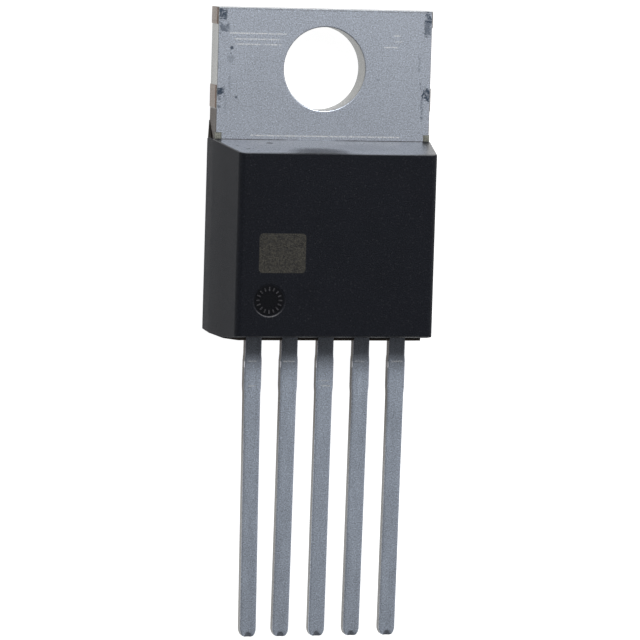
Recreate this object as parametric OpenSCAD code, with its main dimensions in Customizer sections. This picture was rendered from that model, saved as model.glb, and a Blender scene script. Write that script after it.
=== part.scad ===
// Five-lead power-tab voltage regulator, lying on the back face of its tab.
// Origin: axis of the mounting hole on the back face. +X across, +Y towards the
// hole end, +Z out of the printed face. Millimetres.

/* [Heat tab] */
// Width of the tab
tab_w = 10.2; // [9.8:0.02:10.5]
// Thickness of the tab
tab_t = 1.27; // [1.14:0.01:1.4]
// Top edge of the tab above the hole axis
tab_top = 2.75; // [2.54:0.01:2.92]
// Diameter of the mounting hole
hole_d = 3.84; // [3.6:0.02:3.96]
// Rolled lip round the hole's front edge
hole_lip = 0.06; // [0.02:0.01:0.12]
// Depth of the plated relief beside the sheared stubs
stub_relief = 0.03; // [0.01:0.01:0.06]
// Length of the stub at each upper corner
stub_upper = 0.8; // [0.6:0.05:1.1]
// Relief between the two stubs of a side
stub_gap = 2.78; // [2.4:0.02:3]
// Length of the stub half way down a side
stub_lower = 1.05; // [0.7:0.05:1.3]

/* [Heat spreader behind the chip] */
// Width of the spreader on the back face
pad_w = 8.4; // [7.6:0.1:8.8]
// Compound between the spreader and the body's lower end
pad_cover = 2.3; // [2.1:0.02:2.6]
// Reach of the locking lip round the spreader
lip_reach = 0.3; // [0.15:0.05:0.4]
// Thickness of the locking lip
lip_t = 0.5; // [0.3:0.05:0.7]
// Depth of the locking groove across the spreader
groove_d = 0.2; // [0.1:0.05:0.35]
// Locking groove, below the body's upper edge
groove_y = 0.7; // [0.5:0.05:0.9]

/* [Moulded body] */
// Cover of the compound past each side of the tab
side_cover = 0.065; // [0.03:0.005:0.2]
// Thickness of the body, back face to front face
body_t = 4.45; // [4.3:0.01:4.8]
// Upper edge of the body, below the hole axis
body_top = 3.29; // [3.1:0.01:3.5]
// Length of the body at the back
body_len = 8.87; // [8.5:0.01:9.3]
// Taper of each side towards the front, degrees
side_draft = 9.8; // [6:0.2:12]
// Taper of the two ends towards the front, degrees
end_draft = 7.2; // [4:0.2:10]
// Taper of the lower end towards the back, degrees
back_draft = 2.4; // [0.5:0.1:4]
// Radius of the lower upright corners; the upper ones end at the tab
corner_r = 0.06; // [0.02:0.02:0.2]
// Rounding of the front face's long edges
edge_r = 0.26; // [0.14:0.02:0.4]
// Rounding of the front face's upper and lower edges
edge_ry = 0.05; // [0.03:0.01:0.2]

/* [Marks of the mould] */
// Diameter of the ejector pin's mark
pin_d = 1.54; // [1.2:0.02:1.8]
// Depth of the ejector pin's mark
pin_depth = 0.05; // [0.02:0.01:0.1]
// Ejector mark, in from the left side of the body
pin_inset = 2.06; // [1.7:0.02:2.6]
// Ejector mark, above the body's lower edge
pin_rise = 1.77; // [1.4:0.01:3]
// Width of the strip of compound between the leads
dam_w = 9; // [8.4:0.1:9.2]
// Reach of that strip past the body
dam_reach = 0.1; // [0.05:0.01:0.25]
// Length over which the strip runs out at its left end
dam_taper = 0.7; // [0.3:0.05:0.8]
// Side of the resin-filled recess in the tab's lower corners
corner_fill = 0.3; // [0.2:0.02:0.4]
// Depth of the corner recess
corner_fill_t = 0.14; // [0.08:0.02:0.3]
// Climb of the resin tongue along the tab's side
tongue_h = 0.8; // [0.4:0.05:1.2]
// Depth of the step in the tab's side that the tongue fills
tongue_t = 0.12; // [0.08:0.02:0.2]

/* [Leads] */
// Distance between leads, centre to centre
pitch = 1.7; // [1.6:0.01:1.8]
// Width of a lead
lead_w = 0.77; // [0.7:0.01:0.86]
// Thickness of a lead
lead_t = 0.46; // [0.36:0.01:0.54]
// Middle of the leads above the back face
lead_z = 2.69; // [2.4:0.01:2.9]
// Length of the leads outside the body
lead_len = 13.94; // [12.5:0.01:14.7]
// Extra width of the trimmed dam bars, each side
bar_stub = 0.025; // [0.01:0.005:0.08]
// Middle of the trimmed dam bars, below the body
bar_y = 1.75; // [1.4:0.05:2.2]
// Length of the trimmed dam bars along the lead
bar_h = 1.2; // [0.8:0.05:1.6]
// Length over which a dam bar's stub runs out
bar_ramp = 0.3; // [0.1:0.05:0.5]
// Width of the round corners of a lead's tip
tip_rx = 0.24; // [0.05:0.01:0.3]
// Height of the round corners of a lead's tip
tip_ry = 0.4; // [0.1:0.02:0.5]
// Length of the bevel that shearing left on the tip
tip_h = 0.22; // [0.1:0.01:0.4]
// Thickness left at the very end of the tip
tip_t = 0.24; // [0.12:0.01:0.3]
// Width of the bond posts inside the body
post_w = 1.3; // [1:0.05:1.4]
// Height of the bond posts
post_h = 1.15; // [0.9:0.05:1.2]
// Corner radius of the bond posts
post_r = 0.15; // [0.05:0.05:0.3]
// Compound between the posts and the body's lower end
post_cover = 0.65; // [0.5:0.05:0.8]
// Width of the neck that the compound grips, below a post
neck_w = 0.56; // [0.45:0.01:0.65]

/* [Chip and wires] */
// Width of the silicon die
die_w = 3.4; // [2.8:0.1:3.8]
// Height of the silicon die
die_h = 2.7; // [2.2:0.1:2.9]
// Thickness of the silicon die
die_t = 0.28; // [0.2:0.01:0.36]
// Die above the middle of the spreader
die_lift = 0.1; // [0:0.05:0.2]
// Thickness of the solder under the die
solder_t = 0.05; // [0.03:0.01:0.1]
// Reach of the solder past the die
solder_rim = 0.1; // [0.05:0.01:0.2]
// Diameter of the supply wires
power_wire = 0.25; // [0.2:0.01:0.3]
// Diameter of the signal wires
signal_wire = 0.15; // [0.12:0.01:0.2]
// Rise of a wire's loop above the straight line between its feet
loop_rise = 0.5; // [0.35:0.05:0.7]
// Wire feet, in from the edge of the die or the post
foot_inset = 0.45; // [0.35:0.05:0.55]
// Spacing of neighbouring wires on the die
wire_gap = 0.48; // [0.4:0.02:0.52]

/* [Hidden] */

// How far each lead's tip has been bent off its own line, first lead to fifth
tip_drift = [0.11, -0.055, -0.045, -0.09, -0.08];
ground = 2;

tin = [0.64, 0.66, 0.69];
compound = [0.13, 0.13, 0.14];
aluminium = [0.80, 0.81, 0.82];
eps = 0.01;

body_w = tab_w + 2 * side_cover;
body_bottom = body_top + body_len;
pad_len = body_len - pad_cover;
pad_end = body_top + pad_len;
parting_z = lead_z;
end_in = (body_t - tab_t) * tan(end_draft);
side_in = (body_t - tab_t) * tan(side_draft);
foot_out = parting_z * tan(back_draft);
foot_in = (body_t - parting_z) * tan(end_draft);
lead_back = lead_z - lead_t / 2;
lead_front = lead_z + lead_t / 2;
lead_end = body_bottom + lead_len;
post_low = -body_bottom + post_cover;
post_high = post_low + post_h;
die_y = -(body_top + pad_end) / 2 + die_lift;
die_top = tab_t + solder_t + die_t;
lock_root = 0.4;
mouth = 0.2;
pad_root = 2 * lip_reach;
corner_steps = 4;
tip_steps = 4;
edge_steps = 5;

// Corner points of a rectangle with round corners, counter-clockwise from the lower right;
// r rounds the lower corners and upper_r the upper ones, each in n steps
function round_rect(x0, x1, y0, y1, r, upper_r, n) =
    [for (q = [[x1 - r, y0 + r, -90, r], [x1 - upper_r, y1 - upper_r, 0, upper_r],
               [x0 + upper_r, y1 - upper_r, 90, upper_r], [x0 + r, y0 + r, 180, r]],
          i = [0 : n])
        [q[0] + q[3] * cos(q[2] + 90 * i / n), q[1] + q[3] * sin(q[2] + 90 * i / n)]];

// Outline of the body at height z, drawn in from the outline of the back face
function body_ring(z, side, upper, lower) =
    [for (p = round_rect(-body_w / 2 + side, body_w / 2 - side, -body_bottom + lower,
                         -body_top - upper, corner_r, side_cover, corner_steps))
        [p[0], p[1], z]];

// Ring on the rounding of the front face's edges, from a = 0 at the drafted walls to 90
function edge_ring(a) =
    let (down = edge_r * (1 - sin(a)), turn = 1 - cos(a))
    body_ring(body_t - down,
              side_in - down * tan(side_draft) + edge_r * turn,
              end_in - down * tan(end_draft) + edge_ry * turn,
              foot_in - foot_out - down * tan(end_draft) + edge_ry * turn);

// The cavity of the mould: upright beside the tab, drafted both ways from the parting line,
// with an elliptical rounding along the front face's edges
module body_form() {
    rings = concat([body_ring(0, 0, 0, 0),
                    body_ring(tab_t, 0, 0, -tab_t * tan(back_draft)),
                    body_ring(parting_z, (parting_z - tab_t) * tan(side_draft),
                              (parting_z - tab_t) * tan(end_draft), -foot_out)],
                   [for (i = [0 : edge_steps]) edge_ring(90 * i / edge_steps)]);
    n = len(rings[0]);
    top = len(rings) - 1;
    polyhedron([for (ring = rings, p = ring) p],
               concat([[for (k = [0 : n - 1]) k]],
                      [for (j = [0 : top - 1], k = [0 : n - 1])
                          [j * n + k, (j + 1) * n + k, (j + 1) * n + (k + 1) % n, j * n + (k + 1) % n]],
                      [[for (k = [n - 1 : -1 : 0]) top * n + k]]));
}

// Strip of compound that the dam bars left between the leads; it runs out at its left end
module dam_strip() {
    foot = -body_bottom - foot_out;
    full = (dam_taper - dam_w) / 2;
    translate([0, 0, lead_back])
        linear_extrude(height = lead_t)
            polygon([[full - dam_taper, foot], [full, foot - dam_reach], [dam_w / 2, foot - dam_reach],
                     [dam_w / 2, -body_bottom + mouth], [full - dam_taper, -body_bottom + mouth]]);
}

// Resin in the coined corners of the tab, and the tongues that climb its sides;
// both are rooted in the body
module resin_locks() {
    for (s = [-1, 1]) {
        translate([s * (tab_w - corner_fill) / 2, -body_top + (corner_fill - lock_root) / 2,
                   tab_t - corner_fill_t / 2])
            cube([corner_fill, corner_fill + lock_root, corner_fill_t], center = true);
        translate([s * (tab_w - tongue_t) / 2, -body_top, 0])
            rotate([90, 0, 90])
                linear_extrude(height = tongue_t, center = true)
                    polygon([[-lock_root, 0], [tongue_h, 0], [tongue_h * 0.6, tab_t * 0.22],
                             [tongue_h * 0.15, tab_t * 0.5], [-lock_root, tab_t * 0.66]]);
    }
}

// Compound: all that is cast round the frame, less the frame itself
module mould_body() {
    color(compound)
        difference() {
            union() {
                body_form();
                dam_strip();
                resin_locks();
            }
            translate([-body_w / 2 + pin_inset, -body_bottom + pin_rise, body_t - pin_depth])
                cylinder(d = pin_d, h = pin_depth + eps, $fn = 64);
            tab_and_ground_lead();
            enable_lead();
            input_lead();
            output_lead();
            adjust_lead();
            die_solder();
            silicon_die();
            enable_wire();
            input_wire_outer();
            input_wire_inner();
            ground_wire();
            output_wire_inner();
            output_wire_outer();
            adjust_wire();
        }
}

// The thick part of the frame: mounting tab, and the spreader with its locking lip
module tab_plate() {
    upper_relief = tab_top - stub_upper - stub_gap;
    difference() {
        union() {
            translate([-tab_w / 2, -body_top - lock_root, 0])
                cube([tab_w, tab_top + body_top + lock_root, tab_t]);
            translate([-pad_w / 2, -pad_end, 0])
                cube([pad_w, pad_len, tab_t]);
            translate([-pad_w / 2 - lip_reach, -pad_end - lip_reach, tab_t - lip_t])
                cube([pad_w + 2 * lip_reach, pad_len, lip_t]);
        }
        translate([0, 0, -eps])
            cylinder(d = hole_d, h = tab_t + 2 * eps, $fn = 96);
        translate([0, 0, tab_t - hole_lip])
            cylinder(d1 = hole_d, d2 = hole_d + 2 * hole_lip, h = hole_lip, $fn = 96);
        for (s = [-1, 1]) {
            translate([s * tab_w / 2, upper_relief + stub_gap / 2, tab_t / 2])
                cube([2 * stub_relief, stub_gap, tab_t + eps], center = true);
            translate([s * tab_w / 2, upper_relief - stub_lower - tab_top, tab_t / 2])
                cube([2 * stub_relief, 2 * tab_top, tab_t + eps], center = true);
        }
        resin_locks();
        translate([0, -body_top - groove_y, tab_t])
            rotate([0, 90, 0])
                cylinder(r = groove_d, h = tab_w + eps, center = true, $fn = 4);
    }
}

// Outline of a lead outside the body, up to its neck; i counts from the left
module lead_blade(i) {
    dx = tip_drift[i];
    h = lead_w / 2;
    b = h + bar_stub;
    bar_top = -body_bottom - bar_y + bar_h / 2;
    bar_low = bar_top - bar_h;
    tip = [for (k = [0 : tip_steps]) let (a = 90 * k / tip_steps)
              [h - tip_rx * (1 - sin(a)), -lead_end + tip_ry * (1 - cos(a))]];
    side = [[h, bar_low - bar_ramp], [b, bar_low], [b, bar_top], [h, bar_top + bar_ramp],
            [h, -body_bottom + mouth], [neck_w / 2, -body_bottom + mouth],
            [neck_w / 2, post_low + post_r]];
    right = concat([for (p = tip) [p[0] + dx, p[1]]], side);
    left = concat([for (k = [len(side) - 1 : -1 : 0]) [-side[k][0], side[k][1]]],
                  [for (k = [tip_steps : -1 : 0]) [dx - tip[k][0], tip[k][1]]]);
    translate([(i - ground) * pitch, 0, lead_back])
        linear_extrude(height = lead_t)
            polygon(concat(right, left));
}

// Bevels that the shear left on the front and the back of a lead's tip
module tip_bevels(i) {
    for (m = [0, 1])
        translate([(i - ground) * pitch + tip_drift[i], -lead_end, lead_z])
            mirror([0, 0, m])
                rotate([90, 0, 90])
                    linear_extrude(height = 2 * lead_w, center = true)
                        polygon([[tip_h, lead_t / 2], [-eps, tip_t / 2], [-eps, lead_t], [tip_h, lead_t]]);
}

// Post where the wires land; the outer leads' posts reach outwards
module bond_post(i) {
    reach = (post_w - lead_w) / 2;
    out = i == 0 ? -reach : i == 4 ? reach : 0;
    translate([(i - ground) * pitch + out, 0, lead_back])
        linear_extrude(height = lead_t)
            polygon(round_rect(-post_w / 2, post_w / 2, post_low, post_high, post_r, post_r, 4));
}

// One of the four leads that stand clear of the tab
module lead(i) {
    color(tin)
        difference() {
            union() {
                lead_blade(i);
                bond_post(i);
            }
            tip_bevels(i);
        }
}

// The middle lead steps up from the spreader to the plane of the others
module ground_step() {
    foot = -pad_end - lip_reach;
    top = post_low + post_r;
    rotate([90, 0, 90])
        linear_extrude(height = lead_w, center = true)
            polygon([[foot + pad_root, tab_t - lead_t], [foot + pad_root, tab_t], [foot, tab_t],
                     [top + lead_t / 2, lead_front], [top - mouth, lead_front],
                     [top - mouth, lead_back], [top + lead_t, lead_back],
                     [foot + lead_t / 2, tab_t - lead_t]]);
}

// One stamped and stepped copper strip: tab, spreader and the middle lead
module tab_and_ground_lead() {
    color(tin) {
        tab_plate();
        ground_step();
        difference() {
            lead_blade(ground);
            tip_bevels(ground);
        }
    }
}

module enable_lead() { lead(0); }
module input_lead() { lead(1); }
module output_lead() { lead(3); }
module adjust_lead() { lead(4); }

module die_solder() {
    color([0.55, 0.56, 0.58])
        translate([-die_w / 2 - solder_rim, die_y - die_h / 2 - solder_rim, tab_t])
            cube([die_w + 2 * solder_rim, die_h + 2 * solder_rim, solder_t]);
}

module silicon_die() {
    color([0.35, 0.37, 0.45])
        translate([-die_w / 2, die_y - die_h / 2, tab_t + solder_t])
            cube([die_w, die_h, die_t]);
}

// Flat foot where a wire of diameter d is wedged down, its long side along the wire
module wire_foot(d, turn) {
    rotate([0, 0, turn])
        linear_extrude(height = d * 0.7)
            polygon(round_rect(-d, d, -d * 0.6, d * 0.6, d * 0.4, d * 0.4, 4));
}

// Wire of diameter d that rises in one arc from the foot at a to the foot at b
module bond_wire(a, b, d) {
    run = norm([b[0] - a[0], b[1] - a[1]]);
    chord = norm([run, b[2] - a[2]]);
    r = (chord * chord / 4 + loop_rise * loop_rise) / (2 * loop_rise);
    half = asin(chord / 2 / r);
    turn = atan2(b[1] - a[1], b[0] - a[0]);
    climb = atan2(b[2] - a[2], run);
    color(aluminium) {
        translate(a)
            wire_foot(d, turn);
        translate(b)
            wire_foot(d, turn);
        translate(a + [0, 0, d / 2])
            rotate([0, -climb, turn])
                translate([chord / 2, 0, loop_rise - r])
                    rotate([90, 0, 0])
                        rotate([0, 0, 90 - half])
                            rotate_extrude(angle = 2 * half, $fn = 96)
                                translate([r, 0])
                                    circle(d = d, $fn = 24);
    }
}

// Wire from the die to the post of lead i, both feet counted in steps of wire_gap
module lead_wire(i, on_die, on_post, d) {
    bond_wire([on_die * wire_gap, die_y - die_h / 2 + foot_inset, die_top],
              [(i - ground) * pitch + on_post * wire_gap, post_high - foot_inset, lead_front], d);
}

module enable_wire() { lead_wire(0, -3, -0.5, signal_wire); }
module input_wire_outer() { lead_wire(1, -2, -0.5, power_wire); }
module input_wire_inner() { lead_wire(1, -1, 0.5, power_wire); }
module output_wire_inner() { lead_wire(3, 1, -0.5, power_wire); }
module output_wire_outer() { lead_wire(3, 2, 0.5, power_wire); }
module adjust_wire() { lead_wire(4, 3, 0.5, signal_wire); }

// Ground wire, bonded down to the spreader between the die and the locking groove
module ground_wire() {
    die_edge = die_y + die_h / 2;
    bond_wire([0, die_edge - foot_inset, die_top],
              [0, die_edge + solder_rim + foot_inset, tab_t], power_wire);
}

mould_body();
tab_and_ground_lead();
enable_lead();
input_lead();
output_lead();
adjust_lead();
die_solder();
silicon_die();
enable_wire();
input_wire_outer();
input_wire_inner();
ground_wire();
output_wire_inner();
output_wire_outer();
adjust_wire();
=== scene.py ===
import math
import bpy
import bmesh
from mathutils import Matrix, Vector


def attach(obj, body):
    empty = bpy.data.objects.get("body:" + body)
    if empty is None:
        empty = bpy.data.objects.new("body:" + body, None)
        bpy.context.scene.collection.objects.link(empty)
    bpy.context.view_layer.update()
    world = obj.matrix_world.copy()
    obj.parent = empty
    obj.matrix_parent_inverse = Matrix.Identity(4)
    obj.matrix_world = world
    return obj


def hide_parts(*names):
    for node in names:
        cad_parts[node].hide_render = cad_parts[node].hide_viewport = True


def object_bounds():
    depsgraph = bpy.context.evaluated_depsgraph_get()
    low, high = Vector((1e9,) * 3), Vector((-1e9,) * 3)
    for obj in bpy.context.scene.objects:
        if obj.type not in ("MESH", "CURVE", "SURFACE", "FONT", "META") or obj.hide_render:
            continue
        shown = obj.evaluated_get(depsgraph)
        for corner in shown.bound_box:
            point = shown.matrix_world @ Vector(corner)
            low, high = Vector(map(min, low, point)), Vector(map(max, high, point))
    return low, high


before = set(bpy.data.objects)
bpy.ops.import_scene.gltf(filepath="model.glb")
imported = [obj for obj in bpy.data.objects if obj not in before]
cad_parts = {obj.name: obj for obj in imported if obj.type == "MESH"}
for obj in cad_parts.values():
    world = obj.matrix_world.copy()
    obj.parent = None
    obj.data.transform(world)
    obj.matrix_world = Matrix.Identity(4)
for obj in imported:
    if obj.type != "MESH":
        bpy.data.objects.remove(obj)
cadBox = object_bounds()
mm = 0.001
print("frame loaded with", len(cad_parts), "nodes")

# sizes that several pieces share, in millimetres
shared = {
    "tabWidth": 10.2,
    "plateThick": 1.27,
    "tabTop": 2.75,      # above the hole's axis
    "bodyTop": 3.29,     # below the hole's axis
    "bodyLength": 8.87,
    "bodyThick": 4.45,
    "sideCover": 0.065,  # compound past the tab's sides
    "cornerRadius": 0.06,
    "lockRoot": 0.4,     # how deep resin and tab reach into the body
    "leadPitch": 1.7,
    "leadWidth": 0.77,
    "leadThick": 0.46,
    "leadHeight": 2.69,  # middle of the leads above the back face
    "mouth": 0.2,        # full width of a lead inside the body, down to its neck
    "bite": 0.012,       # how far joined shapes sink into each other
    "weld": 0.0005,      # points nearer than this become one
}
bodyStart = -shared["bodyTop"]
bodyEnd = shared["bodyTop"] + shared["bodyLength"]


def arithmetic(operation):  # an operator and its reflected form, each as one Math node
    return (lambda self, other: self.graph.maths(operation, self, other),
            lambda self, other: self.graph.maths(operation, other, self))


class Signal:  # a node's socket, so that sums on it add Math nodes
    def __init__(self, graph, socket):
        self.graph = graph
        self.socket = socket

    def also(self, name):  # another output of the same node
        return Signal(self.graph, self.socket.node.outputs[name])

    __add__, __radd__ = arithmetic("ADD")
    __sub__, __rsub__ = arithmetic("SUBTRACT")
    __mul__, __rmul__ = arithmetic("MULTIPLY")
    __truediv__, __rtruediv__ = arithmetic("DIVIDE")
    __pow__, __rpow__ = arithmetic("POWER")

    def __neg__(self):
        return self.graph.maths("MULTIPLY", self, -1.0)

    def __abs__(self):
        return self.graph.maths("ABSOLUTE", self)


class Graph:  # puts nodes into one material or geometry tree
    def __init__(self, tree):
        self.tree = tree

    def put(self, kind, settings=None, sockets=None, out=0):
        node = self.tree.nodes.new(kind)
        for name, value in (settings or {}).items():
            setattr(node, name, value)
        for name, value in (sockets or {}).items():
            if isinstance(value, Signal):
                self.tree.links.new(value.socket, node.inputs[name])
            else:
                node.inputs[name].default_value = value
        return Signal(self, node.outputs[out]) if node.outputs else None

    def maths(self, operation, *values):
        return self.put("ShaderNodeMath", {"operation": operation}, dict(enumerate(values)))

    def least(self, a, b):
        return self.maths("MINIMUM", a, b)

    def most(self, a, b):
        return self.maths("MAXIMUM", a, b)

    def step(self, value, low, high, shape="SMOOTHSTEP"):  # 0 below low, 1 above high
        return self.put("ShaderNodeMapRange", {"interpolation_type": shape},
                        {"Value": value, "From Min": low, "From Max": high})

    def fall(self, value, low, high):  # 1 below low, 0 above high
        return 1 - self.step(value, low, high)

    def window(self, value, low, high, soft):  # 1 between low and high
        return self.step(value, low - soft, low + soft) * self.fall(value, high - soft, high + soft)

    def parts(self, vector):  # its x, y and z
        x = self.put("ShaderNodeSeparateXYZ", None, {0: vector})
        return x, x.also("Y"), x.also("Z")

    def vector(self, **parts):
        return self.put("ShaderNodeCombineXYZ", None, parts)

    def reach(self, a, b):  # distance made by two offsets
        return self.maths("SQRT", a ** 2.0 + b ** 2.0)

    def place(self):  # where a point is on the part, in millimetres
        spot = self.put("ShaderNodeTexCoord", out="Object")
        return self.put("ShaderNodeVectorMath", {"operation": "SCALE"}, {0: spot, "Scale": 1 / mm})

    def noise(self, where, size, detail=2.0, rough=0.5, stretch=(1, 1, 1), shift=(0, 0, 0)):
        spread = self.put("ShaderNodeMapping", None, {"Vector": where, "Scale": stretch, "Location": shift})
        return self.put("ShaderNodeTexNoise", None,
                        {"Vector": spread, "Scale": 1 / size, "Detail": detail, "Roughness": rough})

    def tint(self, factor, a, b):  # colour a where factor is 0, b where it is 1
        return self.put("ShaderNodeMix", {"data_type": "RGBA"}, {0: factor, 6: a, 7: b}, out=2)

    def layers(self, look, colour, *coats):  # coats of (factor, name of a colour in the look), lowest first
        for factor, name in coats:
            colour = self.tint(factor, colour, look[name])
        return colour

    def shade(self, colour, amount):  # a colour times a number
        return self.put("ShaderNodeVectorMath", {"operation": "SCALE"}, {0: colour, "Scale": amount})

    def bump(self, height, distance):  # distance in millimetres
        return self.put("ShaderNodeBump", None,
                        {"Height": height, "Distance": distance * mm, "Strength": 1.0})

    def finish(self, sockets):
        shader = self.put("ShaderNodeBsdfPrincipled", None, sockets)
        self.put("ShaderNodeOutputMaterial", None, {"Surface": shader})


def seen(red, green, blue):  # a screen colour, 0 to 255, as the linear colour that a socket takes
    def straight(level):
        level = level / 255
        return level / 12.92 if level <= 0.04045 else ((level + 0.055) / 1.055) ** 2.4
    return (straight(red), straight(green), straight(blue), 1.0)


def newMaterial(name):
    material = bpy.data.materials.new(name)
    material.use_nodes = True
    material.node_tree.nodes.clear()
    return material, Graph(material.node_tree)


def addObject(name, data):
    piece = bpy.data.objects.new(name, data)
    bpy.context.scene.collection.objects.link(piece)
    return piece


# Camera, at the photograph's angle
cameraLook = {
    "place": (-51.712, 8.835, 199.287),  # mm
    "turn": (-6.1411, -14.4942, 1.7504),  # degrees
    "lens": 250.3,
    "sensor": 36.0,
}


def makeCamera(look):
    data = bpy.data.cameras.new("photoCamera")
    data.lens = look["lens"]
    data.sensor_width = look["sensor"]
    data.clip_start = 0.01
    camera = addObject("photoCamera", data)
    camera.location = Vector(look["place"]) * mm
    camera.rotation_euler = [math.radians(angle) for angle in look["turn"]]
    bpy.context.scene.camera = camera
    print("camera placed")


makeCamera(cameraLook)

# Floor, surroundings and lamps
studioLook = {
    "floorSize": 3.0,               # m
    "floorDrop": 0.00002,
    "floorGlow": 0.96,
    "floorColour": (0.35, 0.35, 0.35, 1.0),
    "floorRough": 0.9,
    "floorGloss": 0.1,
    "horizon": 0.7,                 # brightness of the surroundings, low down
    "zenith": 0.06,                 # and overhead
    "horizonTop": 0.35,             # where the change starts, as the height of a unit direction
    "zenithStart": 0.80,            # and where it ends
    "keyFrom": (0.25, 0.68, 0.69),  # above the hole's end, a little to the right
    "keyDistance": 0.40,            # m
    "keySize": 0.2,
    "keyPower": 1.6,                # W
}


def makeFloor(look):
    half = look["floorSize"] / 2
    mesh = bpy.data.meshes.new("studioFloor")
    corners = [(-half, -half), (half, -half), (half, half), (-half, half)]
    mesh.from_pydata([(x, y, -look["floorDrop"]) for x, y in corners], [], [(0, 1, 2, 3)])
    material, graph = newMaterial("paleFloor")
    graph.finish({"Base Color": look["floorColour"], "Roughness": look["floorRough"],
                  "Specular IOR Level": look["floorGloss"],
                  "Emission Color": (1, 1, 1, 1), "Emission Strength": look["floorGlow"]})
    mesh.materials.append(material)
    addObject("studioFloor", mesh)


def makeSurroundings(look):
    world = bpy.data.worlds.new("softStudio")
    world.use_nodes = True
    world.node_tree.nodes.clear()
    graph = Graph(world.node_tree)
    direction = graph.put("ShaderNodeTexCoord", out="Generated")
    upward = graph.step(graph.parts(direction)[2], look["horizonTop"], look["zenithStart"])
    strength = look["horizon"] + upward * (look["zenith"] - look["horizon"])
    glow = graph.put("ShaderNodeBackground", None, {"Color": (1, 1, 1, 1), "Strength": strength})
    graph.put("ShaderNodeOutputWorld", None, {"Surface": glow})
    bpy.context.scene.world = world


def makeKeyLamp(look):
    data = bpy.data.lights.new("keyLamp", "AREA")
    data.shape = "DISK"
    data.energy = look["keyPower"]
    data.size = look["keySize"]
    lamp = addObject("keyLamp", data)
    target = (cadBox[0] + cadBox[1]) / 2
    lamp.location = target + Vector(look["keyFrom"]).normalized() * look["keyDistance"]
    lamp.rotation_euler = (target - lamp.location).to_track_quat("-Z", "Y").to_euler()


def makeStudio(look):
    makeFloor(look)
    makeSurroundings(look)
    makeKeyLamp(look)
    view = bpy.context.scene.view_settings
    view.view_transform = "Standard"
    view.look = "None"
    print("studio lit")


makeStudio(studioLook)


# Mesh tools
def meshFromRings(name, rings):  # closed shell through rings of equal length, lowest ring first
    count = len(rings[0])
    points = [Vector(point) * mm for ring in rings for point in ring]
    faces = [[k for k in range(count - 1, -1, -1)]]
    for low in range(len(rings) - 1):
        for k in range(count):
            onward = (k + 1) % count
            faces.append([low * count + k, low * count + onward,
                          (low + 1) * count + onward, (low + 1) * count + k])
    faces.append([(len(rings) - 1) * count + k for k in range(count)])
    mesh = bpy.data.meshes.new(name)
    mesh.from_pydata(points, [], faces)
    return addObject(name, mesh)


def prism(name, outline, low, high):  # outline runs counter-clockwise
    return meshFromRings(name, [[(x, y, z) for x, y in outline] for z in (low, high)])


def block(name, low, high):
    outline = [(low[0], low[1]), (high[0], low[1]), (high[0], high[1]), (low[0], high[1])]
    return prism(name, outline, low[2], high[2])


def lathe(name, profile, centre, steps):  # profile of (radius, height), lowest first
    turns = [2 * math.pi * k / steps for k in range(steps)]
    rings = [[(centre[0] + radius * math.cos(turn), centre[1] + radius * math.sin(turn), height)
              for turn in turns] for radius, height in profile]
    return meshFromRings(name, rings)


def settle(piece):  # modifiers become plain mesh
    evaluated = piece.evaluated_get(bpy.context.evaluated_depsgraph_get())
    mesh = bpy.data.meshes.new_from_object(evaluated)
    piece.modifiers.clear()
    spare = piece.data
    piece.data = mesh
    bpy.data.meshes.remove(spare)
    mesh.name = piece.name
    return piece


def weld(piece):  # points that lie on each other become one
    work = bmesh.new()
    work.from_mesh(piece.data)
    bmesh.ops.remove_doubles(work, verts=work.verts, dist=shared["weld"] * mm)
    bmesh.ops.dissolve_degenerate(work, edges=work.edges, dist=shared["weld"] * mm)
    work.to_mesh(piece.data)
    work.free()
    return piece


def combine(piece, tool, operation):
    cut = piece.modifiers.new("combine", "BOOLEAN")
    cut.operation = operation
    cut.solver = "EXACT"
    cut.object = tool
    settle(piece)
    bpy.data.objects.remove(tool)
    return weld(piece)


def castRound(piece, inserts):  # every insert is cut out in one go, which leaves the hollows closed
    group = bpy.data.collections.new("inserts")
    for insert in inserts:
        group.objects.link(insert)
    cut = piece.modifiers.new("castRound", "BOOLEAN")
    cut.operation = "DIFFERENCE"
    cut.solver = "EXACT"
    cut.operand_type = "COLLECTION"
    cut.collection = group
    settle(piece)
    bpy.data.collections.remove(group)
    return weld(piece)


def soften(piece, radius, steps, angle=35):  # small round edges where faces meet at more than the angle
    bevel = piece.modifiers.new("soften", "BEVEL")
    bevel.width = radius * mm
    bevel.segments = steps
    bevel.limit_method = "ANGLE"
    bevel.angle_limit = math.radians(angle)
    return settle(piece)


def smooth(piece, angle=32):  # smooth faces, crisp where they meet at more than the angle
    mesh = piece.data
    mesh.polygons.foreach_set("use_smooth", [True] * len(mesh.polygons))
    mesh.set_sharp_from_angle(angle=math.radians(angle))
    weigh = piece.modifiers.new("weigh", "WEIGHTED_NORMAL")
    weigh.keep_sharp = True
    return settle(piece)


def volume(piece):
    work = bmesh.new()
    work.from_mesh(piece.data)
    size = work.calc_volume(signed=True)
    work.free()
    return size / mm ** 3


def dress(piece, material, slot, *nodes):
    smooth(piece)
    print("  ", piece.name, round(volume(piece), 3), "mm3,", len(piece.data.polygons), "faces")
    piece.data.materials.clear()
    piece.data.materials.append(material)
    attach(piece, "root")
    if nodes:
        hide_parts(*nodes)


def copyOfNode(name):  # a merged and barely larger copy of a CAD solid, to cut with
    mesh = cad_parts[name].data.copy()
    work = bmesh.new()
    work.from_mesh(mesh)
    bmesh.ops.remove_doubles(work, verts=work.verts, dist=0.4 * shared["weld"] * mm)
    work.normal_update()
    for vert in work.verts:
        vert.co += vert.normal * 0.3 * shared["bite"] * mm
    work.to_mesh(mesh)
    work.free()
    return addObject(name + "Cutter", mesh)


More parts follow.
